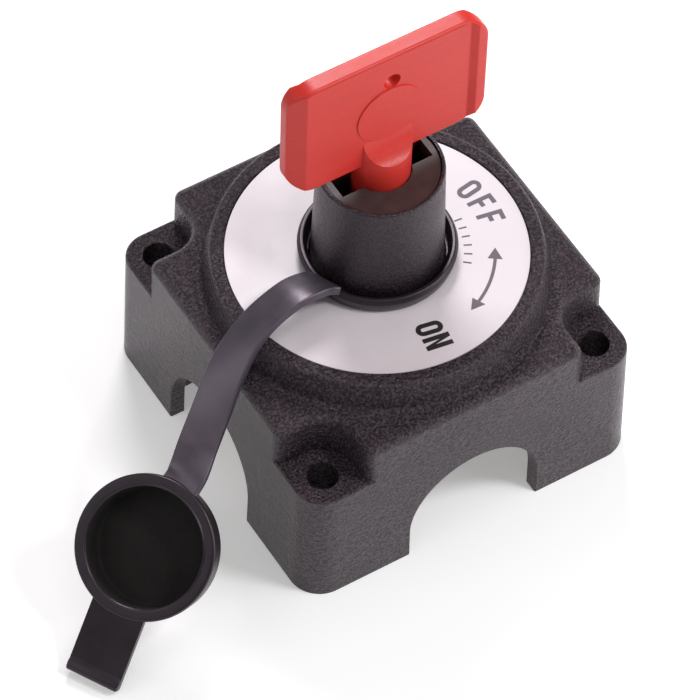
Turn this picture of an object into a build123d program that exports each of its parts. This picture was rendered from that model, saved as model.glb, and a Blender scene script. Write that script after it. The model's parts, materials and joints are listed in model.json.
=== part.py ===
from build123d import *
import os
from math import atan2, cos, degrees, radians, sin, tan

os.makedirs("parts", exist_ok=True)

# Boat battery isolator with a pull-out key, millimetres.
# Origin: centre of the four mounting holes, on the mounting plane. +Z up through the key,
# +X towards the OFF mark, -Y towards the ON mark.

# ---- driving dimensions -------------------------------------------------
base_side = 70.0            # square foot print at the mounting plane
draft = 1.2                 # degrees, every outer wall leans inwards
wall = 2.8                  # shell thickness
corner_r = 6.0              # vertical corners of the lugs
screw_pitch = 57.14         # mounting holes, centre to centre, both ways
screw_r = 2.9
post_r = 10.5               # solid corner post around each screw hole
lug_z = 27.35               # top of the corner lugs, where the screw heads sit
pocket_r = 5.85             # the wall wraps round each screw head at this radius
mouth_r = 2.0               # and flares where it runs out into the side faces
deck_z = 36.1               # top of the square deck
roof_z = 33.3               # underside of the deck
arch_half = 13.4            # cable arches
arch_h = 19.8
ring_base_r = 31.5          # raised dial ring on the deck
ring_top_r = 30.1
ring_z = 41.9
label_r = 27.35
label_z = 41.65
label_t = 0.6
seat_z = 41.0               # floor of the dial recess
well_r = 22.0               # round well under the dial
well_z = 38.4

barrel_base_r = 12.1        # key barrel, slightly tapered
barrel_top_r = 11.43
barrel_z = 65.9
barrel_bore_r = 10.3
barrel_flange_r = 19.0
barrel_flange_z = 35.6
keyway_r = 10.7             # plate with the bow-tie keyway
keyway_z = 65.5
keyway_t = 1.9

chamber_in = 25.5           # contact chamber wall, hangs from the roof
chamber_out = 28.0
plate_z = 20.5              # underside of the insulating base plate
plate_t = 2.5
plate_r = 28.5
gasket_t = 0.4

rotor_r = 10.22
rotor_flange_r = 15.5
rotor_z = 34.0              # underside of the rotor flange
rotor_flange_t = 1.1
cam_drop = 3.0              # how far the face cam pushes the contacts
cam_r = 12.5                # radius of the two cam tracks

bridge_z = 27.7             # contact bar at rest, contacts open
bridge_t = 1.8
carrier_t = 1.5
terminal_x = 16.0           # the two studs, either side of the axis
stud_r = 4.0
stud_end_z = 3.0

collar_in = 12.5            # rubber collar on the barrel
collar_r = 14.3
collar_z = 45.2
strap_dir = 197.0           # degrees, plan direction of the retaining strap
strap_w = 7.2
strap_t = 1.8
knuckle_gap = 0.4           # room for the rubber hinge at the collar to bend
cap_gap = 1.4               # and for the one at the cap, which also twists

cap_r = 13.15               # rim of the dust cap
cap_bore_r = 10.95
cap_wall_r = 12.6
cap_depth = 7.4
tab_w = 10.4
tab_l = 12.8
tab_t = 1.5
tab_bend = 5.7              # degrees; the tip of the tab rests on the floor

shaft_r = 5.3               # removable key
shaft_end_z = 46.0
bit_half = 8.9              # the two bit lugs on the shaft
bit_w = 4.3
blade_low = 70.3
blade_top = 97.0
blade_t = 3.5
blade_half = 19.6           # half of the blade's length
boss_proud = 0.25


def save(name, shape):
    export_step(shape, f"parts/{name}.step")


def disc(r, z0, z1, x=0.0, y=0.0):
    return Pos(x, y, (z0 + z1) / 2) * Cylinder(r, z1 - z0)


def tube(r_out, r_in, z0, z1, x=0.0, y=0.0):
    return disc(r_out, z0, z1, x, y) - disc(r_in, z0 - 1, z1 + 1, x, y)


def block(x0, x1, y0, y1, z0, z1):
    centre = Pos((x0 + x1) / 2, (y0 + y1) / 2, (z0 + z1) / 2)
    return centre * Box(x1 - x0, y1 - y0, z1 - z0)


def turned(*points):
    """Solid of revolution about Z from an outline of (radius, height) points."""
    outline = Plane.XZ * make_face(Polyline(*points, close=True))
    return revolve(outline, Axis.Z)


def side_at(z):
    """Half-width of the leaning outer walls at height z."""
    return base_side / 2 - z * tan(radians(draft))


half_pitch = screw_pitch / 2
corners = [(sx * half_pitch, sy * half_pitch) for sx in (-1, 1) for sy in (-1, 1)]


# ---- housing ------------------------------------------------------------
def is_arch_edge(edge):
    """Outline of a cable arch on one of the four outer faces."""
    box, middle = edge.bounding_box(), edge.center()
    outer = max(abs(middle.X), abs(middle.Y)) > base_side / 2 - 1.2
    start = edge @ 0
    narrow = min(abs(start.X), abs(start.Y)) < arch_half + 0.1
    return outer and narrow and 1 < box.max.Z < arch_h + 0.3


def housing():
    foot = Plane.XY * RectangleRounded(base_side, base_side, corner_r)
    lower = extrude(foot, lug_z, taper=draft)
    lower = fillet(lower.edges().group_by(Axis.Z)[-1], 0.5)

    # The deck's column, full height, with a pocket at each corner that opens to both side faces.
    grow = lug_z * tan(radians(draft))
    wrap = pocket_r - grow
    plan = Plane.XY * Rectangle(base_side, base_side)
    for x, y in corners:
        out_x, out_y = x / abs(x), y / abs(y)
        plan -= Pos(x, y) * Circle(wrap)
        reach = 20.0
        mid, shift = reach / 2, (reach - wrap) / 2
        plan -= Pos(x + out_x * shift, y + out_y * mid) * Rectangle(reach + wrap, reach)
        plan -= Pos(x + out_x * mid, y + out_y * shift) * Rectangle(reach, reach + wrap)
    mouths = [v for v in plan.vertices() if max(abs(v.X), abs(v.Y)) > base_side / 2 - 0.01]
    plan = fillet(mouths, mouth_r + grow)
    column = extrude(plan, deck_z, taper=draft)
    column = fillet(column.edges().group_by(Axis.Z)[-1], 1.6)

    # Dial ring with a small concave fillet where it stands on the deck.
    ring_height = ring_z - deck_z
    ring = Pos(0, 0, deck_z + ring_height / 2) * Cone(ring_base_r, ring_top_r, ring_height)
    ring = fillet(ring.edges().filter_by(GeomType.CIRCLE).group_by(Axis.Z)[-1], 0.7)
    ring += disc(ring_base_r + 1.05, deck_z - 2, deck_z)
    root = [e for e in ring.edges() if abs(e.center().Z - deck_z) < 0.01 and e.radius < ring_base_r + 0.1]
    ring = fillet(root, 1.0)

    shell = lower + column + ring

    # Cable arches through all four walls: a half round on short legs, edges just broken.
    leg = arch_h - arch_half
    arch = Plane.XZ * (
        Pos(0, leg) * Circle(arch_half) + Pos(0, leg / 2 - 1) * Rectangle(2 * arch_half, leg + 2)
    )
    tunnel = extrude(arch, base_side, both=True)
    shell -= tunnel
    shell -= Rot(0, 0, 90) * tunnel
    shell = fillet([e for e in shell.edges() if is_arch_edge(e)], 0.35)

    inner = 2 * (base_side / 2 - wall)
    hollow = extrude(Plane.XY * Rectangle(inner, inner), roof_z, taper=draft)
    for x, y in corners:
        hollow -= disc(post_r, -1, roof_z + 1, x, y)
    shell -= hollow
    shell -= disc(well_r, roof_z - 1, well_z)
    shell -= disc(label_r + 0.25, seat_z, ring_z + 1)
    shell -= disc(barrel_base_r + 0.15, well_z - 1, ring_z + 1)
    for x, y in corners:
        shell -= disc(screw_r, -1, deck_z, x, y)

    # Contact chamber wall with four screw bosses, closed below by the base plate.
    bottom = plate_z + plate_t + gasket_t
    chamber = tube(chamber_out, chamber_in, bottom, roof_z)
    for x, y in boss_centres:
        chamber += disc(boss_r, bottom, roof_z, x, y)
    for x, y in boss_centres:
        chamber -= disc(boss_hole_r, bottom - 1, roof_z - 1.5, x, y)
    shell += chamber
    return shell


boss_r = 3.4
boss_hole_r = 1.7
boss_at = 24.6
boss_centres = [
    (boss_at * cos(radians(a)), boss_at * sin(radians(a))) for a in (45, 135, 225, 315)
]
save("housing", housing())


# ---- key barrel and keyway ----------------------------------------------
def key_barrel():
    body = Pos(0, 0, (well_z + barrel_z) / 2) * Cone(barrel_base_r, barrel_top_r, barrel_z - well_z)
    body = fillet(body.edges().filter_by(GeomType.CIRCLE).group_by(Axis.Z)[-1], 0.5)
    body += disc(barrel_flange_r, barrel_flange_z, well_z)
    body -= disc(barrel_bore_r, barrel_flange_z - 1, barrel_z + 1)
    body -= disc(keyway_r + 0.05, keyway_z - keyway_t, barrel_z + 1)
    return body


slot_half = 9.25
slot_w = 4.7


def keyway_plate():
    plate = disc(keyway_r, keyway_z - keyway_t, keyway_z)
    plate = chamfer(plate.edges().group_by(Axis.Z)[-1], 0.25)
    plate -= disc(shaft_r + 0.25, 0, keyway_z + 1)
    plate -= block(-slot_half, slot_half, -slot_w / 2, slot_w / 2, 0, keyway_z + 1)
    return plate


save("key_barrel", key_barrel())
save("keyway_plate", keyway_plate())
save("barrel_gasket", tube(barrel_flange_r + 2.4, barrel_flange_r + 0.4, well_z - 1.2, well_z))
save("dial_label", tube(label_r, barrel_base_r + 0.3, label_z - label_t, label_z))


# ---- rotor, driven by the key -------------------------------------------
socket_z = shaft_end_z - 0.5
seal_z = 40.0
seal_r = 0.9


def cam_ramp():
    """One quarter-turn ramp: level with the flange at its start, cam_drop lower at its end."""
    inner, outer = cam_r - 2.0, cam_r + 2.4
    ring = tube(outer, inner, rotor_z - cam_drop, rotor_z)
    quarter = block(0, outer + 1, 0, outer + 1, 0, rotor_z)
    wedge = Plane.XZ * make_face(
        Polyline(
            (cam_r + 3, rotor_z - 0.02),
            (cam_r - 0.2, rotor_z - 0.02),
            (0, rotor_z - cam_drop),
            (-1, rotor_z - cam_drop - 1),
            (cam_r + 3, rotor_z - cam_drop - 1),
            close=True,
        )
    )
    ramp = ring & quarter
    ramp -= extrude(wedge, 40, both=True)
    # Level stretch past the ramp, where the follower rests when the contacts are closed.
    rest = ring & block(-4.2, 0, 0, outer + 1, 0, rotor_z)
    return ramp + rest


def rotor():
    body = disc(rotor_r, rotor_z, keyway_z - keyway_t - 0.3)
    body += disc(rotor_flange_r, rotor_z, rotor_z + rotor_flange_t)
    ramp = cam_ramp()
    body += ramp
    body += Rot(0, 0, 180) * ramp
    body -= disc(shaft_r + 0.1, socket_z, barrel_z)
    bit = bit_half + 0.25
    body -= block(-bit, bit, -bit_w / 2 - 0.15, bit_w / 2 + 0.15, socket_z, barrel_z)
    body -= tube(rotor_r + 1, rotor_r - 2 * seal_r + 0.05, seal_z - seal_r, seal_z + seal_r)
    return body


save("rotor", rotor())
save("rotor_seal", Pos(0, 0, seal_z) * Torus(rotor_r - seal_r + 0.04, seal_r - 0.05))
washer_z = rotor_z + rotor_flange_t + 0.03
save("thrust_washer", tube(rotor_flange_r - 0.5, rotor_r + 0.3, washer_z, barrel_flange_z - 0.04))


# ---- contacts ------------------------------------------------------------
follower_r = 1.5
carrier_z = bridge_z + bridge_t
bridge_half = 21.5
spring_r = 3.2
wire_r = 0.35
cup_floor_z = 18.6


def contact_carrier():
    """Sliding carrier: a bar with two round-topped followers that the cam presses on."""
    body = block(-16.5, 16.5, -5.5, 5.5, carrier_z, carrier_z + carrier_t)
    body = fillet(body.edges().filter_by(Axis.Z), 2.5)
    top = rotor_z - 0.12
    for x in (-cam_r, cam_r):
        body += disc(follower_r, carrier_z, top - follower_r, x)
        body += Pos(x, 0, top - follower_r) * Sphere(follower_r)
    body += disc(1.2, bridge_z - 1.6, carrier_z)
    return body


def contact_bridge():
    bar = block(-bridge_half, bridge_half, -4.5, 4.5, bridge_z, bridge_z + bridge_t)
    bar = fillet(bar.edges().filter_by(Axis.Z), 1.5)
    for x in (-terminal_x, terminal_x):
        bar += disc(3.6, bridge_z - 0.9, bridge_z, x)
    return bar - disc(1.25, bridge_z - 1, carrier_z + 1)


def return_spring():
    height = bridge_z - cup_floor_z - 2 * wire_r - 0.1
    path = Helix(pitch=height / 4.5, height=height, radius=spring_r)
    section = Plane(origin=path @ 0, z_dir=path % 0) * Circle(wire_r)
    return Pos(0, 0, cup_floor_z + wire_r + 0.05) * sweep(section, path=path)


save("contact_carrier", contact_carrier())
save("contact_bridge", contact_bridge())
save("return_spring", return_spring())


# ---- base plate, studs and hardware --------------------------------------
def base_plate():
    plate = disc(plate_r, plate_z, plate_z + plate_t)
    plate += disc(6.0, cup_floor_z - 1.6, plate_z)
    plate -= disc(4.2, cup_floor_z, plate_z + plate_t + 1)
    for x in (-terminal_x, terminal_x):
        plate -= disc(stud_r + 0.05, 0, plate_z + plate_t + 1, x)
    for x, y in boss_centres:
        plate -= disc(boss_hole_r + 0.3, 0, plate_z + plate_t + 1, x, y)
    return plate


def base_gasket():
    ring = tube(chamber_out - 0.1, chamber_in + 0.2, plate_z + plate_t, plate_z + plate_t + gasket_t)
    for x, y in boss_centres:
        ring -= disc(boss_hole_r + 0.3, 0, roof_z, x, y)
    return ring


def terminal_stud(x):
    """Copper stud: a flat contact head inside the chamber, its thread hanging below the plate."""
    head_z = plate_z + plate_t
    travel_gap = 0.1
    top = bridge_z - 0.9 - cam_drop - travel_gap
    stud = disc(6.0, head_z, top, x)
    thread = disc(stud_r, stud_end_z, head_z, x)
    return stud + chamfer(thread.edges().group_by(Axis.Z)[0], 0.8)


def hexagon(across, z0, z1, x, hole):
    prism = extrude(Plane.XY.offset(z0) * Pos(x, 0) * RegularPolygon(across / 2, 6, False), z1 - z0)
    return prism - disc(hole, z0 - 1, z1 + 1, x)


def base_screw(x, y):
    """Pan-head screw with a cross slot, driven up into its boss."""
    head = disc(3.1, plate_z - 1.9, plate_z, x, y)
    head = fillet(head.edges().group_by(Axis.Z)[0], 0.8)
    for turn in (0, 90):
        slot = Rot(0, 0, turn) * Box(3.4, 0.8, 1.8)
        head -= Pos(x, y, plate_z - 1.9) * slot
    return head + disc(boss_hole_r - 0.03, plate_z, roof_z - 3, x, y)


def pair(make, *args):
    return Compound(children=[make(*args, x) for x in (-terminal_x, terminal_x)])


def lock_nut(x):
    return hexagon(13.0, plate_z - 4.0, plate_z, x, stud_r + 0.03)


def flat_washer(x):
    return tube(8.0, stud_r + 0.2, plate_z - 5.6, plate_z - 4.0, x)


def spring_washer(x):
    """Split ring."""
    ring = tube(7.0, stud_r + 0.2, plate_z - 7.6, plate_z - 5.6, x)
    return ring - block(x + 3, x + 9, -0.4, 0.4, 0, plate_z)


def outer_nut(x):
    return hexagon(13.0, plate_z - 14.1, plate_z - 7.6, x, stud_r + 0.03)


save("base_plate", base_plate())
save("base_gasket", base_gasket())
save("base_screws", Compound(children=[base_screw(x, y) for x, y in boss_centres]))
save("terminal_stud_in", terminal_stud(-terminal_x))
save("terminal_stud_out", terminal_stud(terminal_x))
save("stud_lock_nuts", pair(lock_nut))
save("stud_flat_washers", pair(flat_washer))
save("stud_spring_washers", pair(spring_washer))
save("stud_outer_nuts", pair(outer_nut))


# ---- rubber collar, strap and dust cap -----------------------------------
along = (cos(radians(strap_dir)), sin(radians(strap_dir)))
strap_plane = Plane(origin=(0, 0, 0), x_dir=(along[0], along[1], 0), z_dir=(-along[1], along[0], 0))
# In this plane local x is the distance from the switch axis and local y is height or its opposite.
up = 1 if strap_plane.y_dir.Z > 0 else -1

root_hinge = (17.0, 46.3)   # (distance from the axis, height) of the strap's two rubber hinges
cap_hinge = (52.1, 28.6)
strap_line = [root_hinge, (21.0, 47.3), (27.1, 45.3), (32.1, 42.0), (36.7, 38.4), (42.0, 34.4), (47.4, 31.1)]


def strap_band():
    line = Spline([(s, up * z) for s, z in strap_line + [cap_hinge]])
    stations = [i / 14 for i in range(15)]
    left, right = [], []
    for t in stations:
        p, d = line @ t, line % t
        left.append((p.X - d.Y * strap_t / 2, p.Y + d.X * strap_t / 2))
        right.append((p.X + d.Y * strap_t / 2, p.Y - d.X * strap_t / 2))
    edge_a, edge_b = Spline(left), Spline(right)
    outline = edge_a + Line(left[-1], right[-1]) + edge_b + Line(right[0], left[0])
    band = extrude(strap_plane * make_face(outline), strap_w / 2, both=True)
    for s, z in (root_hinge, cap_hinge):
        knuckle = extrude(strap_plane * Pos(s, up * z) * Circle(strap_t / 2), strap_w / 2, both=True)
        band += knuckle
    return band


def strap_collar():
    ring = turned(
        (collar_in, label_z + 0.3),
        (collar_r - 0.5, label_z + 0.3),
        (collar_r, label_z + 1.6),
        (collar_r + 0.15, collar_z - 0.9),
        (collar_r - 0.25, collar_z),
        (collar_r - 0.85, collar_z),
        (collar_in + 0.1, collar_z - 1.0),
    )
    reach = strap_t / 2 + knuckle_gap
    start, end = (13.7, 44.2), (root_hinge[0] - reach * 0.94, root_hinge[1] - reach * 0.5)
    lean = Line((start[0], up * start[1]), (end[0], up * end[1])) % 0
    side = (-lean.Y * strap_t / 2, lean.X * strap_t / 2)
    lug = make_face(
        Polyline(
            (start[0] + side[0], up * start[1] + side[1]),
            (end[0] + side[0], up * end[1] + side[1]),
            (end[0] - side[0], up * end[1] - side[1]),
            (start[0] - side[0], up * start[1] - side[1]),
            close=True,
        )
    )
    return ring + extrude(strap_plane * lug, strap_w / 2, both=True)


# The cap lies tipped over at the end of the strap, its open side up, its pull tab on the floor.
cap_centre = (-60.9, -21.3, 19.9)
cap_face = (-0.572, -0.337, 0.748)
tab_dir = (-0.656, -0.359, -0.664)
cap_plane = Plane(origin=cap_centre, x_dir=tab_dir, z_dir=cap_face)


def dust_cap():
    rim_t = 1.3
    cup = Pos(0, 0, -cap_depth / 2) * Cylinder(cap_wall_r, cap_depth)
    cup = fillet(cup.edges().group_by(Axis.Z)[0], 1.6)
    cup += Pos(0, 0, -rim_t / 2) * Cylinder(cap_r, rim_t)
    cup = fillet(cup.edges().group_by(Axis.Z)[-1], 0.45)
    cup -= Pos(0, 0, -(cap_depth - 1.3) / 2 + 0.5) * Cylinder(cap_bore_r, cap_depth - 1.3 + 1.0)
    # Short root that the strap's hinge bends against.
    hinge = Vector(cap_hinge[0] * along[0], cap_hinge[0] * along[1], cap_hinge[1])
    local = cap_plane.to_local_coords(hinge)
    inward = degrees(atan2(-local.Y, -local.X))
    start = strap_t / 2 + cap_gap
    root = block(start, 4.2, -strap_w / 2, strap_w / 2, local.Z - strap_t / 2, local.Z + strap_t / 2)
    root = Pos(local.X, local.Y, 0) * Rot(0, 0, inward) * root - disc(cap_wall_r - 0.5, -9, 1)
    return cap_plane.location * (cup + root)


def pull_tab():
    body = block(-1.5, tab_l, -tab_w / 2, tab_w / 2, -tab_t, 0)
    body += block(tab_l - 2.6, tab_l - 1.0, -tab_w / 2, tab_w / 2, -tab_t, 0.6)
    body = Pos(cap_r, 0, -0.4) * Rot(0, tab_bend, 0) * body - disc(cap_r, -9, 3)
    return cap_plane.location * body


save("strap_collar", strap_collar())
save("strap_band", strap_band())
save("dust_cap", dust_cap())
save("pull_tab", pull_tab())


# ---- key -------------------------------------------------------------------
def key():
    """Flat blade whose ends are offset like a propeller, on a round shaft with two bits."""
    front, lip = -blade_t / 2, -2.55
    outline = [(16.2, front), (17.5, lip), (blade_half, lip), (blade_half, -0.3), (16.6, -front)]
    outline += [(-x, -y) for x, y in outline]
    height = blade_top - blade_low
    slab = extrude(Plane.XY.offset(blade_low) * make_face(Polyline(*outline, close=True)), height)
    face = Plane.XZ * Pos(0, blade_low + height / 2) * Rectangle(2 * blade_half, height)
    face = fillet(face.vertices().group_by(Axis.Z)[0], 5.5)
    face = fillet([v for v in face.vertices() if v.Z > blade_top - 0.01], 5.0)
    slab &= extrude(face, 6, both=True)
    slab = fillet(slab.edges(), 0.6)
    # Round boss standing just proud of both faces.
    boss = Cone(6.4, 6.6, boss_proud + 0.5)
    for side in (-1, 1):
        slab += Pos(0, side * (blade_t / 2 + (boss_proud - 0.5) / 2), 82.4) * Rot(90 * side, 0, 0) * boss
    shaft_top = 76.7
    shaft = disc(shaft_r, shaft_end_z, shaft_top)
    shaft = chamfer(shaft.edges().group_by(Axis.Z)[0], 0.6)
    # Scooped shoulders where the round shaft runs out into both faces of the blade.
    for side in (-1, 1):
        scoop = Pos(0, side * 8.0, 77.5) * Rot(0, 90, 0) * Cylinder(6.3, 20)
        shaft -= scoop
    bits = block(-bit_half, bit_half, -bit_w / 2, bit_w / 2, shaft_end_z + 1, shaft_end_z + 9)
    body = slab + shaft + bits
    body -= Pos(0.4, 0, 90.5) * Rot(90, 0, 0) * Cylinder(1.7, 20)
    return body


save("key", key())
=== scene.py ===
import json
from math import cos, pi, radians, sin

import bmesh
import bpy
from mathutils import Matrix, Vector


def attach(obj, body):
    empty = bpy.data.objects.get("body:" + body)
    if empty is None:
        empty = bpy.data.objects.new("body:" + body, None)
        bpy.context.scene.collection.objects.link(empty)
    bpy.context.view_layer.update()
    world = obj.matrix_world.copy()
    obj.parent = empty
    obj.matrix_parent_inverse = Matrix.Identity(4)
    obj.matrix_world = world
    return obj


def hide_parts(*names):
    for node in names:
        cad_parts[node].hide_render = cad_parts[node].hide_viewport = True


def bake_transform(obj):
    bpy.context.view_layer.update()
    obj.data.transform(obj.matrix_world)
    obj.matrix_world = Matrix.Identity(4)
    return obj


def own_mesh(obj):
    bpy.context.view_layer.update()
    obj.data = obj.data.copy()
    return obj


# Boat battery isolator with a pull-out red key and a rubber dust cap on a strap.
# Lengths are millimetres in this script's own values; MM turns them into the frame's metres.

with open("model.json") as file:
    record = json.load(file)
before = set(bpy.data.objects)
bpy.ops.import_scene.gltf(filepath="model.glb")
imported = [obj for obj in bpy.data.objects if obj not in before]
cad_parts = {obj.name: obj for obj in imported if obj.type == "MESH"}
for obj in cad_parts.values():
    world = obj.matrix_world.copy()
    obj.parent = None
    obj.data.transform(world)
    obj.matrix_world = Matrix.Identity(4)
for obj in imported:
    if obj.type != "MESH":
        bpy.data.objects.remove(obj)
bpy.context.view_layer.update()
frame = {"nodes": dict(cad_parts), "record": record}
nodes = frame["nodes"]
scene = bpy.context.scene
MM = 0.001

# ---- camera ---------------------------------------------------------------
VIEW_AZIMUTH = -33.712      # degrees; 0 looks along +Y
VIEW_ELEVATION = 53.103
VIEW_ROLL = 2.472
VIEW_DISTANCE = 985.5
VIEW_TARGET = Vector((-0.33, 0.18, 12.65))
LENS = 277.2
SHIFT = (-0.02995, -0.00255)

# ---- soft pieces ----------------------------------------------------------
STRAP_W = 7.2
STRAP_T = 1.6
STRAP_EDGE = 0.28           # rounding of the strap's long edges
STRAP_TAIL = 2.8            # how far it runs on past the cap's hinge
STRAP_CROWN = 0.06          # how much thicker it is along its middle, as a share
STRAP_KNOTS = [             # x, y, z, twist in degrees about the strap's own line
    (-13.4, -3.30, 44.9, -13),
    (-15.1, -3.62, 46.0, -14),
    (-17.0, -3.95, 46.9, -14),
    (-20.6, -4.30, 47.4, -14),
    (-26.7, -4.75, 45.3, -13),
    (-31.6, -5.70, 42.0, -11),
    (-35.9, -7.63, 38.7, -8),
    (-40.9, -10.8, 34.2, -4),
    (-45.4, -13.9, 31.0, -1),
]
CAP_HINGE = Vector((-49.26, -16.85, 28.65))
CAP_CENTRE = Vector((-60.9, -21.3, 19.9))
CAP_FACE = Vector((-0.572, -0.337, 0.748))
TAB_DIR = Vector((-0.656, -0.359, -0.664))
CAP_R = 13.15
CAP_BORE = 10.95
CAP_WALL = 12.6
CAP_DEPTH = 7.4
TAB_W = 10.4
TAB_L = 12.8
TAB_T = 1.5
TAB_BEND = 5.7
CAP_FLOOR_T = 1.3           # thickness of the cup's floor
RING_STEPS = 128
MERGE_DIST = 1e-7           # metres; points closer than this become one


# ---- mesh helpers -----------------------------------------------------------
def mesh_piece(name, verts, faces, materials, sharp=38):
    """A named mesh from millimetre points, smooth except across edges sharper than that angle."""
    mesh = bpy.data.meshes.new(name)
    mesh.from_pydata([Vector(v) * MM for v in verts], [], faces)
    bm = bmesh.new()
    bm.from_mesh(mesh)
    bmesh.ops.remove_doubles(bm, verts=bm.verts, dist=MERGE_DIST)
    bmesh.ops.recalc_face_normals(bm, faces=bm.faces)
    bm.to_mesh(mesh)
    bm.free()
    for polygon in mesh.polygons:
        polygon.use_smooth = True
    mesh.set_sharp_from_angle(angle=radians(sharp))
    obj = bpy.data.objects.new(name, mesh)
    scene.collection.objects.link(obj)
    for material in materials:
        mesh.materials.append(material)
    return obj


def rounded(points, radii, steps=6, closed=True):
    """A 2-D outline whose corners are replaced by arcs of the given radii (0 keeps a corner)."""
    out = []
    count = len(points)
    for i, (p, r) in enumerate(zip(points, radii)):
        p = Vector(p)
        ends = not closed and i in (0, count - 1)
        if r <= 0 or ends:
            out.append(p)
            continue
        a = (Vector(points[i - 1]) - p).normalized()
        b = (Vector(points[(i + 1) % count]) - p).normalized()
        half = a.angle(b) / 2
        reach = r / sin(half) * cos(half)
        centre = p + (a + b).normalized() * (r / sin(half))
        start, end = p + a * reach - centre, p + b * reach - centre
        turn = start.angle_signed(end)
        for k in range(steps + 1):
            angle = -turn * k / steps
            spin = Matrix.Rotation(angle, 2)
            out.append(centre + spin @ start)
    return out


def turned(name, profile, materials, place=None, closed=True, steps=RING_STEPS):
    """A shape turned about Z from (radius, height) points; an open profile ends on the axis."""
    place = place or Matrix.Identity(4)
    verts, faces, rings = [], [], []
    for r, z in profile:
        if r < 1e-6:
            rings.append([len(verts)] * steps)
            verts.append(place @ Vector((0, 0, z)))
            continue
        ring = []
        for k in range(steps):
            angle = 2 * pi * k / steps
            ring.append(len(verts))
            verts.append(place @ Vector((r * cos(angle), r * sin(angle), z)))
        rings.append(ring)
    pairs = list(zip(rings, rings[1:]))
    if closed:
        pairs.append((rings[-1], rings[0]))
    for low, high in pairs:
        for k in range(steps):
            n = (k + 1) % steps
            face = [low[k], low[n], high[n], high[k]]
            face = [v for i, v in enumerate(face) if v not in face[:i]]
            if len(face) > 2:
                faces.append(face)
    return mesh_piece(name, verts, faces, materials)


def smooth_line(knots, per_span):
    """Points of a centripetal curve through the knots, which may carry extra values."""
    first = [2 * a - b for a, b in zip(knots[0], knots[1])]
    last = [2 * a - b for a, b in zip(knots[-1], knots[-2])]
    line = [first, *knots, last]
    out = []
    for i in range(1, len(line) - 2):
        p = [Vector(q[:3]) for q in line[i - 1:i + 3]]
        t = [0.0]
        for a, b in zip(p, p[1:]):
            t.append(t[-1] + max((b - a).length, 1e-6) ** 0.5)
        for k in range(per_span):
            u = t[1] + (t[2] - t[1]) * k / per_span
            out.append(spline_point(line[i - 1:i + 3], t, u))
    out.append(list(knots[-1]))
    return out


def spline_point(q, t, u):
    """The point at parameter u of the curve through four knots q whose parameters are t."""
    def mix(a, b, t0, t1):
        f = (u - t0) / (t1 - t0)
        return [x * (1 - f) + y * f for x, y in zip(a, b)]

    a1, a2, a3 = (mix(q[i], q[i + 1], t[i], t[i + 1]) for i in range(3))
    b1, b2 = mix(a1, a2, t[0], t[2]), mix(a2, a3, t[1], t[3])
    return mix(b1, b2, t[1], t[2])


def lofted(name, sections, materials):
    """A closed skin over rings of equal point counts, capped at both ends."""
    verts = [v for ring in sections for v in ring]
    count = len(sections[0])
    faces = []
    for i in range(len(sections) - 1):
        for k in range(count):
            n = (k + 1) % count
            a, b = i * count, (i + 1) * count
            faces.append([a + k, a + n, b + n, b + k])
    faces.append(list(range(count)))
    faces.append([len(verts) - count + k for k in range(count)])
    return mesh_piece(name, verts, faces, materials)


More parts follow.
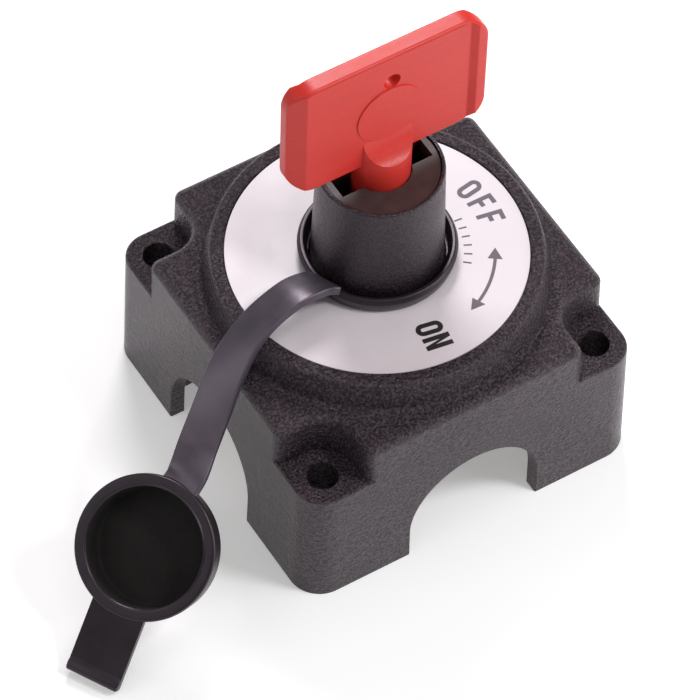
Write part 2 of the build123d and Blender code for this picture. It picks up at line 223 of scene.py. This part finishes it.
# ---- materials ---------------------------------------------------------------
class Nodes:
    """Short names for the nodes that the materials share."""

    def __init__(self, name):
        self.material = bpy.data.materials.new(name)
        self.material.use_nodes = True
        self.tree = self.material.node_tree
        self.shader = self.tree.nodes["Principled BSDF"]
        self.coords = self.tree.nodes.new("ShaderNodeTexCoord").outputs["Object"]

    def link(self, a, b):
        self.tree.links.new(a, b)

    def noise(self, size, detail=3.0, rough=0.6, stretch=None):
        """Noise whose features are about that many millimetres across."""
        node = self.tree.nodes.new("ShaderNodeTexNoise")
        node.inputs["Scale"].default_value = 1 / (size * MM)
        node.inputs["Detail"].default_value = detail
        node.inputs["Roughness"].default_value = rough
        source = self.coords
        if stretch:
            mapping = self.tree.nodes.new("ShaderNodeMapping")
            mapping.inputs["Scale"].default_value = stretch
            self.link(source, mapping.inputs["Vector"])
            source = mapping.outputs["Vector"]
        self.link(source, node.inputs["Vector"])
        return node.outputs["Fac"]

    def cells(self, size, feature):
        """Cell pattern whose cells are about that many millimetres across."""
        node = self.tree.nodes.new("ShaderNodeTexVoronoi")
        node.feature = feature
        node.inputs["Scale"].default_value = 1 / (size * MM)
        self.link(self.coords, node.inputs["Vector"])
        return node.outputs["Distance"]

    def spread(self, value, low, high, out_low=0.0, out_high=1.0):
        """The value with low to high stretched to out_low to out_high, and held at those ends."""
        node = self.tree.nodes.new("ShaderNodeMapRange")
        node.inputs["From Min"].default_value = low
        node.inputs["From Max"].default_value = high
        node.inputs["To Min"].default_value = out_low
        node.inputs["To Max"].default_value = out_high
        self.link(value, node.inputs["Value"])
        return node.outputs["Result"]

    def math(self, operation, a, b):
        node = self.tree.nodes.new("ShaderNodeMath")
        node.operation = operation
        for value, socket in zip((a, b), node.inputs):
            if isinstance(value, (int, float)):
                socket.default_value = value
            else:
                self.link(value, socket)
        return node.outputs["Value"]

    def colours(self, factor, a, b):
        node = self.tree.nodes.new("ShaderNodeMix")
        node.data_type = "RGBA"
        self.link(factor, node.inputs["Factor"])
        for colour, socket in ((a, node.inputs["A"]), (b, node.inputs["B"])):
            if isinstance(colour, tuple):
                socket.default_value = (*colour, 1)
            else:
                self.link(colour, socket)
        return node.outputs["Result"]

    def bump(self, height, depth, under=None):
        """Relief that many millimetres deep, on top of the relief under it if there is one."""
        node = self.tree.nodes.new("ShaderNodeBump")
        node.inputs["Distance"].default_value = depth * MM
        node.inputs["Strength"].default_value = 1.0
        self.link(height, node.inputs["Height"])
        if under:
            self.link(under, node.inputs["Normal"])
        return node.outputs["Normal"]

    def finish(self, colour, roughness, normal=None, **sockets):
        """The finished material; each of the first three is a value or a node's output."""
        for value, name in ((colour, "Base Color"), (roughness, "Roughness"), (normal, "Normal")):
            if isinstance(value, (int, float)):
                self.shader.inputs[name].default_value = value
            elif value is not None:
                self.link(value, self.shader.inputs[name])
        for name, value in sockets.items():
            self.shader.inputs[name.replace("_", " ")].default_value = value
        return self.material


def grained_plastic(name, dark, light, grain, depth, rough, speck_and_glint_share=0.9):
    """Moulded black plastic: pale specks on a fine grain, partly random tone and partly painted glints, as
    they are weighted onto the grain's raised tops; roughness and tone vary broadly.

    grain and depth are millimetres, rough is (smoothest, roughest), and speck_and_glint_share is the
    specks' share of the tone.
    """
    n = Nodes(name)
    pebbles = n.spread(n.cells(grain, "SMOOTH_F1"), 0.05, 0.75)
    fine = n.noise(grain * 0.5, 3.0, 0.7)
    broad = n.noise(grain * 24, 3.0)
    height = n.math("ADD", n.math("MULTIPLY", pebbles, -0.6), n.math("MULTIPLY", fine, 0.9))
    speck = n.spread(n.noise(grain * 0.8, 1.0, 0.6), 0.43, 0.60)
    # Specks weighted onto the raised tops of the grain: painted glints where light catches the bumps, over
    # random speck tone.
    specks_and_painted_glints = n.math("MULTIPLY", speck, n.spread(pebbles, 0.0, 1.0, 1.0, 0.35))
    tone = n.math("ADD", n.math("MULTIPLY", specks_and_painted_glints, speck_and_glint_share), n.spread(broad, 0.3, 0.7, 0.0, 1 - speck_and_glint_share))
    colour = n.colours(tone, dark, light)
    wear = n.math("MULTIPLY", n.spread(broad, 0.3, 0.7, 0.4, 1.0), n.spread(fine, 0.3, 0.7))
    return n.finish(
        colour,
        n.spread(wear, 0.0, 1.0, rough[1], rough[0]),
        n.bump(height, depth),
        Specular_IOR_Level=0.5,
        Specular_Tint=(1.0, 0.84, 0.97, 1.0),
    )


def smooth_rubber(name, dark, light, gloss, rough=(0.27, 0.4), depth=0.016):
    """Moulded rubber: faint flow marks, dust in the pores and a soft violet sheen of that gloss."""
    n = Nodes(name)
    fine = n.noise(0.3, 4.0, 0.7)
    broad = n.noise(6.0, 3.0)
    dust = n.spread(n.noise(0.5, 5.0, 0.8), 0.58, 0.74)
    tone = n.math("ADD", n.math("MULTIPLY", dust, 0.5), n.spread(broad, 0.3, 0.7, 0, 0.5))
    return n.finish(
        n.colours(tone, dark, light),
        n.spread(n.math("MULTIPLY", broad, fine), 0.1, 0.4, rough[0], rough[1]),
        n.bump(fine, depth),
        Specular_IOR_Level=gloss,
        Specular_Tint=(1.0, 0.86, 1.0, 1.0),
    )


def matt(name, dark, light, rough, grain=0.3, depth=0.02):
    """Dull moulded surface, mottled between two colours."""
    n = Nodes(name)
    fine = n.noise(grain, 3.0)
    colour = n.colours(n.spread(n.noise(grain * 9, 3.0), 0.3, 0.7), dark, light)
    return n.finish(colour, n.spread(fine, 0.2, 0.8, rough - 0.08, rough + 0.08), n.bump(fine, depth))


def red_plastic(name):
    """Satin moulded red: faint flow lines, fine mottling and a touch of light through the skin."""
    n = Nodes(name)
    flow = n.noise(3.5, 3.0, stretch=(0.35, 1.0, 1.0))
    fine = n.noise(0.45, 3.0)
    speck = n.spread(n.noise(0.6, 4.0, 0.75), 0.35, 0.68)
    tone = n.math("ADD", n.math("MULTIPLY", speck, 0.45), n.spread(flow, 0.3, 0.7, 0, 0.55))
    height = n.math("ADD", n.math("MULTIPLY", flow, 0.6), n.math("MULTIPLY", fine, 0.22))
    return n.finish(
        n.colours(tone, (0.56, 0.022, 0.016), (0.65, 0.038, 0.027)),
        n.spread(n.math("MULTIPLY", flow, fine), 0.1, 0.4, 0.32, 0.44),
        n.bump(height, 0.045),
        Specular_IOR_Level=0.4,
        Subsurface_Weight=0.12,
        Subsurface_Radius=(0.9 * MM, 0.12 * MM, 0.08 * MM),
        Subsurface_Scale=1.0,
    )


def printed_film(name):
    """Pale dial film: an even satin laminate with slight waviness and dust."""
    n = Nodes(name)
    wave = n.noise(9.0, 2.0)
    fine = n.noise(0.35, 4.0, 0.75)
    dust = n.spread(n.noise(0.5, 5.0, 0.8), 0.66, 0.78)
    cloud = n.spread(n.math("MULTIPLY", wave, fine), 0.12, 0.38)
    clean = n.colours(cloud, (0.70, 0.64, 0.675), (0.76, 0.70, 0.735))
    colour = n.colours(n.math("MULTIPLY", dust, 0.22), clean, (0.42, 0.38, 0.40))
    return n.finish(colour, n.spread(wave, 0.3, 0.7, 0.34, 0.44), n.bump(fine, 0.012), Specular_IOR_Level=0.4)


def print_ink(name, colour):
    """Printing ink, worn a little paler in specks."""
    n = Nodes(name)
    fine = n.noise(0.25, 3.0)
    pale = tuple(c * 1.6 + 0.01 for c in colour)
    worn = n.colours(n.spread(fine, 0.3, 0.75, 0, 0.3), colour, pale)
    return n.finish(worn, n.spread(fine, 0.2, 0.8, 0.45, 0.6), n.bump(fine, 0.004))


def metal(name, colour, tarnish, rough=(0.22, 0.42), thread=None):
    """Plated or machined metal; thread is the pitch of a fine screw thread along Z, in millimetres."""
    n = Nodes(name)
    fine = n.noise(0.25, 3.0, stretch=(1, 1, 4))
    blot = n.spread(n.noise(2.5, 4.0, 0.7), 0.4, 0.7)
    colour = n.colours(n.math("MULTIPLY", blot, 0.7), colour, tarnish)
    normal = n.bump(fine, 0.012)
    if thread:
        wave = n.tree.nodes.new("ShaderNodeTexWave")
        wave.bands_direction = "Z"
        wave.inputs["Scale"].default_value = 2 * pi / (thread * MM) / 20
        n.link(n.coords, wave.inputs["Vector"])
        normal = n.bump(wave.outputs["Fac"], 0.5, under=normal)
    dull = n.spread(n.math("MULTIPLY", fine, blot), 0.0, 0.5, rough[0], rough[1])
    return n.finish(colour, dull, normal, Metallic=1.0)


MATERIALS = {
    "housing_plastic": grained_plastic(
        "housing_plastic", (0.003, 0.002, 0.002), (0.090, 0.066, 0.082),
        grain=0.6, depth=0.34, rough=(0.15, 0.26),
    ),
    "barrel_plastic": grained_plastic(
        "barrel_plastic", (0.008, 0.006, 0.007), (0.048, 0.036, 0.044),
        grain=0.5, depth=0.12, rough=(0.20, 0.32),
    ),
    "keyway_plastic": matt("keyway_plastic", (0.032, 0.019, 0.018), (0.054, 0.034, 0.034), 0.5),
    "dial_face": printed_film("dial_face"),
    "insulator": matt("insulator", (0.05, 0.042, 0.04), (0.075, 0.065, 0.062), 0.6),
    "rotor_plastic": matt("rotor_plastic", (0.010, 0.009, 0.009), (0.018, 0.016, 0.016), 0.6),
    "washer_plastic": matt("washer_plastic", (0.55, 0.52, 0.45), (0.66, 0.63, 0.56), 0.45),
    "key_plastic": red_plastic("key_plastic"),
    "strap_rubber": smooth_rubber("strap_rubber", (0.010, 0.008, 0.009), (0.030, 0.024, 0.029), 0.45),
    "seal_rubber": matt("seal_rubber", (0.012, 0.012, 0.012), (0.022, 0.022, 0.022), 0.75),
    "copper": metal("copper", (0.75, 0.36, 0.22), (0.32, 0.15, 0.10), thread=1.25),
    "brass_nut": metal("brass_nut", (0.74, 0.56, 0.26), (0.42, 0.30, 0.13)),
    "zinc_steel": metal("zinc_steel", (0.60, 0.60, 0.60), (0.38, 0.37, 0.34)),
    "spring_steel": metal("spring_steel", (0.48, 0.48, 0.50), (0.30, 0.29, 0.28), rough=(0.18, 0.3)),
}
# Near-black copy of the cap rubber for the inside of the cup: painted shade in the cavity.
CAP_PAINTED_SHADE = matt("cap_painted_shade", (0.006, 0.0045, 0.004), (0.010, 0.008, 0.007), 0.85)
# Glossier copy of the rubber for the strap, with a base colour about three times paler than on the collar and
# cap: the paler colour is painted light.
STRAP_GLOSS_AND_PAINTED_LIGHT = smooth_rubber(
    "strap_gloss_and_painted_light", (0.032, 0.026, 0.035), (0.078, 0.065, 0.085), 1.0, rough=(0.28, 0.42)
)
INK_GREY = print_ink("ink_grey", (0.105, 0.082, 0.105))
INK_BLACK = print_ink("ink_black", (0.010, 0.008, 0.009))


def finish_cad_nodes():
    """Every carried-over node takes the material of the slot that the record names for it."""
    for subpart in frame["record"]["subparts"]:
        node = nodes[subpart["node"]]
        node.data.materials.clear()
        node.data.materials.append(MATERIALS[subpart["material_slot"]])


finish_cad_nodes()


# ---- strap ---------------------------------------------------------------------
def cap_axes():
    """The cap's own axes: x along the tab, z out of the cup's open side."""
    x = TAB_DIR.normalized()
    z = (CAP_FACE - x * CAP_FACE.dot(x)).normalized()
    return x, z.cross(x), z


CAP_X, CAP_Y, CAP_Z = cap_axes()
CAP_PLACE = Matrix.Translation(CAP_CENTRE) @ Matrix((CAP_X, CAP_Y, CAP_Z)).transposed().to_4x4()


def strap_stations():
    """(centre, width direction, face direction) along the strap.

    It starts inside the collar and ends inside the cap's wall, so that no gap shows at either.
    """
    local = CAP_PLACE.inverted() @ CAP_HINGE
    inward = (CAP_CENTRE + CAP_Z * local.z - CAP_HINGE).normalized()
    knots = [list(k) for k in STRAP_KNOTS]
    knots.append([*CAP_HINGE, 0])
    knots.append([*(CAP_HINGE + inward * STRAP_TAIL), 0])
    line = smooth_line(knots, 9)
    stations = []
    for i, point in enumerate(line):
        before, after = line[max(i - 1, 0)], line[min(i + 1, len(line) - 1)]
        t = (Vector(after[:3]) - Vector(before[:3])).normalized()
        level = t.cross(Vector((0, 0, 1))).normalized()
        face = level.cross(t)
        twist = radians(point[3])
        across = level * cos(twist) + face * sin(twist)
        stations.append((Vector(point[:3]), across, across.cross(t)))
    return stations


def strap_section(centre, across, face, width):
    """The strap's outline at one station: a rounded oblong, very slightly crowned on both faces."""
    x, y = width / 2, STRAP_T / 2
    ring = []
    for p in rounded([(-x, -y), (x, -y), (x, y), (-x, y)], [STRAP_EDGE] * 4, steps=4):
        crown = 1 + STRAP_CROWN * (1 - (p.x / x) ** 2)
        ring.append(centre + across * p.x + face * (p.y * crown))
    return ring


def make_strap():
    """The strap in two halves that meet in its middle.

    It widens where it joins the collar, and a little where it joins the cap.
    """
    stations = strap_stations()
    sections = []
    for i, (centre, across, face) in enumerate(stations):
        share = i / (len(stations) - 1)
        root = max(0.0, 1 - share / 0.08)
        tip = max(0.0, (share - 0.94) / 0.06)
        width = STRAP_W + 0.8 * root ** 2 + 0.2 * tip ** 2
        sections.append(strap_section(centre, across, face, width))
    middle = len(sections) // 2
    # The strap takes the paler, glossier copy of the rubber; its paler colour is painted light.
    rubber = [STRAP_GLOSS_AND_PAINTED_LIGHT]
    upper = lofted("strap_upper", sections[:middle + 1], rubber)
    lower = lofted("strap_lower", sections[middle:], rubber)
    return upper, lower, stations


strap_upper, strap_lower, stations = make_strap()


# ---- collar ----------------------------------------------------------------------
def make_collar():
    """Rubber ring round the barrel: a rolled lip with a funnel inside it."""
    bore, lip = 12.55, 14.45
    low, top = 41.95, 45.2
    outline = [
        (bore, low), (13.85, low), (14.25, 43.2), (lip, 44.3),
        (13.95, top), (13.30, 45.15), (bore, 43.9),
    ]
    profile = rounded(outline, [0.1, 0.25, 0.8, 0.45, 0.3, 0.25, 0.4])
    return turned("collar_ring", profile, [MATERIALS["strap_rubber"]])


collar = make_collar()


# ---- cap and tab -------------------------------------------------------------------
def make_cap():
    """Moulded dust cap: cup with a flat rim flange, a fine bead at the bore and a soft outer wall."""
    cup_floor = -CAP_DEPTH + CAP_FLOOR_T
    outline = [
        (0.0, -CAP_DEPTH), (CAP_WALL - 0.9, -CAP_DEPTH),
        (CAP_WALL, -CAP_DEPTH + 2.2), (CAP_WALL + 0.1, -1.7),
        (CAP_R, -1.3), (CAP_R, 0.0),
        (CAP_BORE + 0.42, -0.12), (CAP_BORE + 0.16, 0.08), (CAP_BORE - 0.06, -0.15),
        (CAP_BORE - 0.15, cup_floor), (0.0, cup_floor),
    ]
    radii = [0, 1.1, 1.2, 0.25, 0.4, 0.5, 0.1, 0.1, 0.1, 0.5, 0]
    profile = rounded(outline, radii, closed=False)
    cup = turned("cap_cup", profile, [MATERIALS["strap_rubber"], CAP_PAINTED_SHADE], CAP_PLACE, closed=False)
    back = CAP_PLACE.inverted()
    # Faces inside the bore and above the cup's floor get the near-black painted shade.
    for polygon in cup.data.polygons:
        centre = back @ (polygon.center / MM)
        in_bore = Vector((centre.x, centre.y)).length < CAP_BORE - 0.04
        in_cup = cup_floor - 0.3 < centre.z < -0.3
        polygon.material_index = 1 if in_bore and in_cup else 0
    return cup


def make_tab():
    """Flat pull tab with a rounded grip bead across its end and softly rounded long edges."""
    bead = 0.75
    root = -1.6                 # it starts inside the cap's rim
    outline = [
        (root, -TAB_T), (TAB_L, -TAB_T), (TAB_L, bead * 0.7), (TAB_L - 0.9, bead),
        (TAB_L - 1.9, bead * 0.6), (TAB_L - 2.5, 0.0), (root, 0.0),
    ]
    side = rounded(outline, [0, 0.5, 0.5, 0.5, 0.4, 0.3, 0], steps=5)
    place = CAP_PLACE @ Matrix.Translation((CAP_R, 0, -0.4)) @ Matrix.Rotation(radians(TAB_BEND), 4, "Y")
    middle = sum((Vector(p) for p in side), Vector((0, 0))) / len(side)
    soft, steps = 0.4, 6
    rows = []
    for k in range(steps + 1):
        angle = pi / 2 * k / steps
        rows.append((-TAB_W / 2 + soft * (1 - cos(angle)), soft * (1 - sin(angle))))
    rows += [(-y, shrink) for y, shrink in reversed(rows)]
    sections = []
    for y, shrink in rows:
        ring = []
        for p in side:
            towards = middle - Vector(p)
            inset_x = max(-shrink, min(shrink, towards.x))
            inset_z = max(-shrink, min(shrink, towards.y))
            ring.append(place @ Vector((p[0] + inset_x, y, p[1] + inset_z)))
        sections.append(ring)
    return lofted("tab_body", sections, [MATERIALS["strap_rubber"]])


cap = make_cap()
tab = make_tab()


# ---- return spring ------------------------------------------------------------------
SPRING_R = 3.2
SPRING_WIRE = 0.35
SPRING_FOOT = 18.6          # floor of the cup in the base plate
SPRING_TOP = 27.6


def make_coil():
    """Compression spring with closed ends: the coils lie flat together at the foot and the top."""
    turns, per_turn, around = 6.0, 40, 10
    low, high = SPRING_FOOT + SPRING_WIRE, SPRING_TOP - SPRING_WIRE
    sections = []
    for i in range(int(turns * per_turn) + 1):
        turn = i / per_turn
        closed = 2.1 * SPRING_WIRE
        if turn < 1:
            z = low + closed * turn * turn * 0.5
        elif turn > turns - 1:
            z = high - closed * (turns - turn) ** 2 * 0.5
        else:
            share = (turn - 1) / (turns - 2)
            eased = 0.7 * share + 0.3 * share * share * (3 - 2 * share)
            z = low + closed * 0.5 + (high - low - closed) * eased
        angle = 2 * pi * turn
        outward = Vector((cos(angle), sin(angle), 0))
        middle = outward * SPRING_R + Vector((0, 0, z))
        ring = []
        for k in range(around):
            side = 2 * pi * k / around
            ring.append(middle + (outward * cos(side) + Vector((0, 0, 1)) * sin(side)) * SPRING_WIRE)
        sections.append(ring)
    return lofted("return_coil", sections, [MATERIALS["spring_steel"]])


coil = make_coil()


# ---- marks on the dial -----------------------------------------------------------------
LABEL_Z = 41.65
INK_T = 0.03
INK_ROOT = 0.05             # how far the print reaches into the film
LETTER_FOOT = 19.45         # radius at the foot of the OFF letters
OFF_HEIGHT, OFF_PEN = 5.0, 0.86
ON_HEIGHT = 5.05
TICKS, TICK_STEP = 6, 7.0


def ink(name, outlines, rings, material):
    """Thin raised print: filled outlines, and closed rings given as (outer, inner) outlines."""
    verts, faces = [], []
    top, low = LABEL_Z + INK_T, LABEL_Z - INK_ROOT

    def level(outline, z):
        base = len(verts)
        verts.extend([(p[0], p[1], z) for p in outline])
        return [base + k for k in range(len(outline))]

    def bridge(a, b):
        for k in range(len(a)):
            n = (k + 1) % len(a)
            faces.append([a[k], a[n], b[n], b[k]])

    for outline in outlines:
        upper, lower = level(outline, top), level(outline, low)
        faces.append(upper)
        faces.append(lower[::-1])
        bridge(lower, upper)
    for outer, inner in rings:
        corners = ((outer, low), (outer, top), (inner, top), (inner, low))
        levels = [level(outline, z) for outline, z in corners]
        for a, b in zip(levels, levels[1:] + levels[:1]):
            bridge(a, b)
    obj = mesh_piece(name, verts, faces, [material], sharp=20)
    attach(obj, "housing")


def placed(points, base, up):
    """Letter points (x right, y up) moved so that the middle of the letter's foot is at base."""
    up = Vector(up).normalized()
    right = Vector((up.y, -up.x))
    return [Vector(base) + right * x + up * y for x, y in points]


def letter_o(base, up, height, width, pen):
    """Outer and inner outline of an O: two half circles joined by straight sides."""
    loops = []
    for r in (width / 2, width / 2 - pen):
        loop = []
        for middle, start in ((height - width / 2, 0), (width / 2, 180)):
            for k in range(13):
                angle = radians(start + 180 * k / 12)
                loop.append((r * cos(angle), middle + r * sin(angle)))
        loops.append(placed(loop, base, up))
    return loops


def letter_f(base, up, height, width, pen):
    left, stem, right = -width / 2, -width / 2 + pen, width / 2
    bar = 0.56 * height
    shape = [
        (left, 0), (stem, 0), (stem, bar - pen), (right - 0.25, bar - pen), (right - 0.25, bar),
        (stem, bar), (stem, height - pen), (right, height - pen), (right, height), (left, height),
    ]
    return placed(shape, base, up)


def letter_n(base, up, height, width, pen):
    left, right = -width / 2, width / 2
    slant = height - 2.0 * pen
    shape = [
        (left, 0), (left + pen, 0), (left + pen, slant), (right - pen, 0), (right, 0), (right, height),
        (right - pen, height), (right - pen, height - slant), (left + pen, height), (left, height),
    ]
    return placed(shape, base, up)


def polar(radius, degrees):
    return Vector((radius * cos(radians(degrees)), radius * sin(radians(degrees))))


def turn_arrow(radius, start, end, pen, head, spread):
    """Outline of an arc with an arrowhead at both ends; angles in degrees."""
    steps = 20
    angles = [start + (end - start) * k / steps for k in range(steps + 1)]
    outer = [polar(radius + pen / 2, a) for a in angles]
    inner = [polar(radius - pen / 2, a) for a in angles]
    reach = -head if end > start else head
    tips = [polar(radius, start + reach), polar(radius, end - reach)]
    wings = [(polar(radius + spread, a), polar(radius - spread, a)) for a in (start, end)]
    return [tips[0], wings[0][0], *outer, wings[1][0], tips[1], wings[1][1], *reversed(inner), wings[0][1]]


def make_marks():
    """OFF, ON, an arrow for the turn between them, and ticks near the collar."""
    off = []
    for angle in (-0.6, -10.2):
        off.append(letter_f(polar(LETTER_FOOT, angle), polar(1, angle), OFF_HEIGHT, 2.3, OFF_PEN))
    off.append(turn_arrow(21.1, -35.5, -63.0, 0.6, 6.8, 1.35))
    off_ring = [letter_o(polar(LETTER_FOOT, 9.1), polar(1, 9.1), OFF_HEIGHT, 2.7, OFF_PEN)]
    ink("mark_off", off, off_ring, INK_GREY)
    # The two letters of ON lean slightly differently, as they follow the curve of the dial.
    on = [letter_n((-3.95, -22.3), (0.985, -0.15), ON_HEIGHT, 2.75, 0.95)]
    on_ring = [letter_o((-3.72, -19.0), (0.985, -0.185), ON_HEIGHT, 2.65, 0.92)]
    ink("mark_on", on, on_ring, INK_BLACK)
    inner, outer, half = 15.5, 17, 0.55
    ticks = []
    for k in range(TICKS):
        angle = -5 - TICK_STEP * k
        corners = ((inner, -half), (outer, -half), (outer, half), (inner, half))
        ticks.append([polar(r, angle + side) for r, side in corners])
    ink("mark_ticks", ticks, [], INK_GREY)


make_marks()


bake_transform(strap_upper)
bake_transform(strap_lower)
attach(collar, "collar")
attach(cap, "cap")
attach(tab, "cap")
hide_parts("strap_band")
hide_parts("strap_collar")
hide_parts("dust_cap")
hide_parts("pull_tab")
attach(coil, "housing")
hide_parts("return_spring")
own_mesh(coil)


# ---- stage, light and camera ------------------------------------------------------------------
FLOOR_GLOW = 0.30
FLOOR_REACH = 1500
WORLD_LIGHT = 0.26


def make_floor():
    """White studio table that glows slightly, so that it stays white under and round the object."""
    n = Nodes("studio_floor")
    shade = n.colours(n.spread(n.noise(60, 2.0), 0.3, 0.7), (0.91, 0.91, 0.91), (0.93, 0.93, 0.93))
    material = n.finish(
        shade,
        0.9,
        Specular_IOR_Level=0.0,
        Emission_Color=(1.0, 0.995, 0.985, 1),
        Emission_Strength=FLOOR_GLOW,
    )
    reach = FLOOR_REACH
    verts = [(-reach, -reach, 0), (reach, -reach, 0), (reach, reach, 0), (-reach, reach, 0)]
    floor = mesh_piece("studio_floor", verts, [[0, 1, 2, 3]], [material])


def area_light(name, place, size, power, colour=(1, 1, 1), aim=(0, 0, 20)):
    """A round soft light, facing the point it is aimed at."""
    light = bpy.data.lights.new(name, "AREA")
    light.shape = "DISK"
    light.size = size * MM
    light.energy = power
    light.color = colour
    obj = bpy.data.objects.new(name, light)
    scene.collection.objects.link(obj)
    obj.location = Vector(place) * MM
    towards = (Vector(aim) - Vector(place)).normalized()
    obj.rotation_mode = "QUATERNION"
    obj.rotation_quaternion = towards.to_track_quat("-Z", "Y")


def make_world():
    """Even light from all round."""
    world = bpy.data.worlds.new("studio")
    world.use_nodes = True
    scene.world = world
    background = world.node_tree.nodes["Background"]
    background.inputs["Color"].default_value = (1.0, 0.995, 0.99, 1)
    background.inputs["Strength"].default_value = WORLD_LIGHT


def make_camera():
    """The camera above the front left corner, rolled slightly."""
    azimuth, elevation, roll = (radians(v) for v in (VIEW_AZIMUTH, VIEW_ELEVATION, VIEW_ROLL))
    back = Vector((sin(azimuth) * cos(elevation), -cos(azimuth) * cos(elevation), sin(elevation)))
    right = (-back).cross(Vector((0, 0, 1))).normalized()
    up = back.cross(right)
    tilted_right = right * cos(roll) + up * sin(roll)
    tilted_up = up * cos(roll) - right * sin(roll)
    camera = bpy.data.objects.new("camera", bpy.data.cameras.new("camera"))
    scene.collection.objects.link(camera)
    turn = Matrix((tilted_right, tilted_up, back)).transposed().to_4x4()
    camera.matrix_world = Matrix.Translation((VIEW_TARGET + back * VIEW_DISTANCE) * MM) @ turn
    camera.data.lens = LENS
    camera.data.sensor_width = 36
    camera.data.shift_x, camera.data.shift_y = SHIFT
    scene.camera = camera


make_floor()
area_light("soft_back", (96, 215, 300), 130, 0.75, (1.0, 0.97, 1.0), aim=(0, 10, 36))
area_light("soft_left", (-420, 60, 330), 300, 0.3, (1.0, 0.97, 1.0))
area_light("soft_right", (400, -330, 200), 300, 1.15, (1.0, 0.98, 1.0))
area_light("soft_edge", (155, -220, 435), 90, 0.7)
area_light("soft_top", (-60, -120, 700), 300, 0.4)
make_world()
make_camera()
scene.view_settings.view_transform = "Standard"
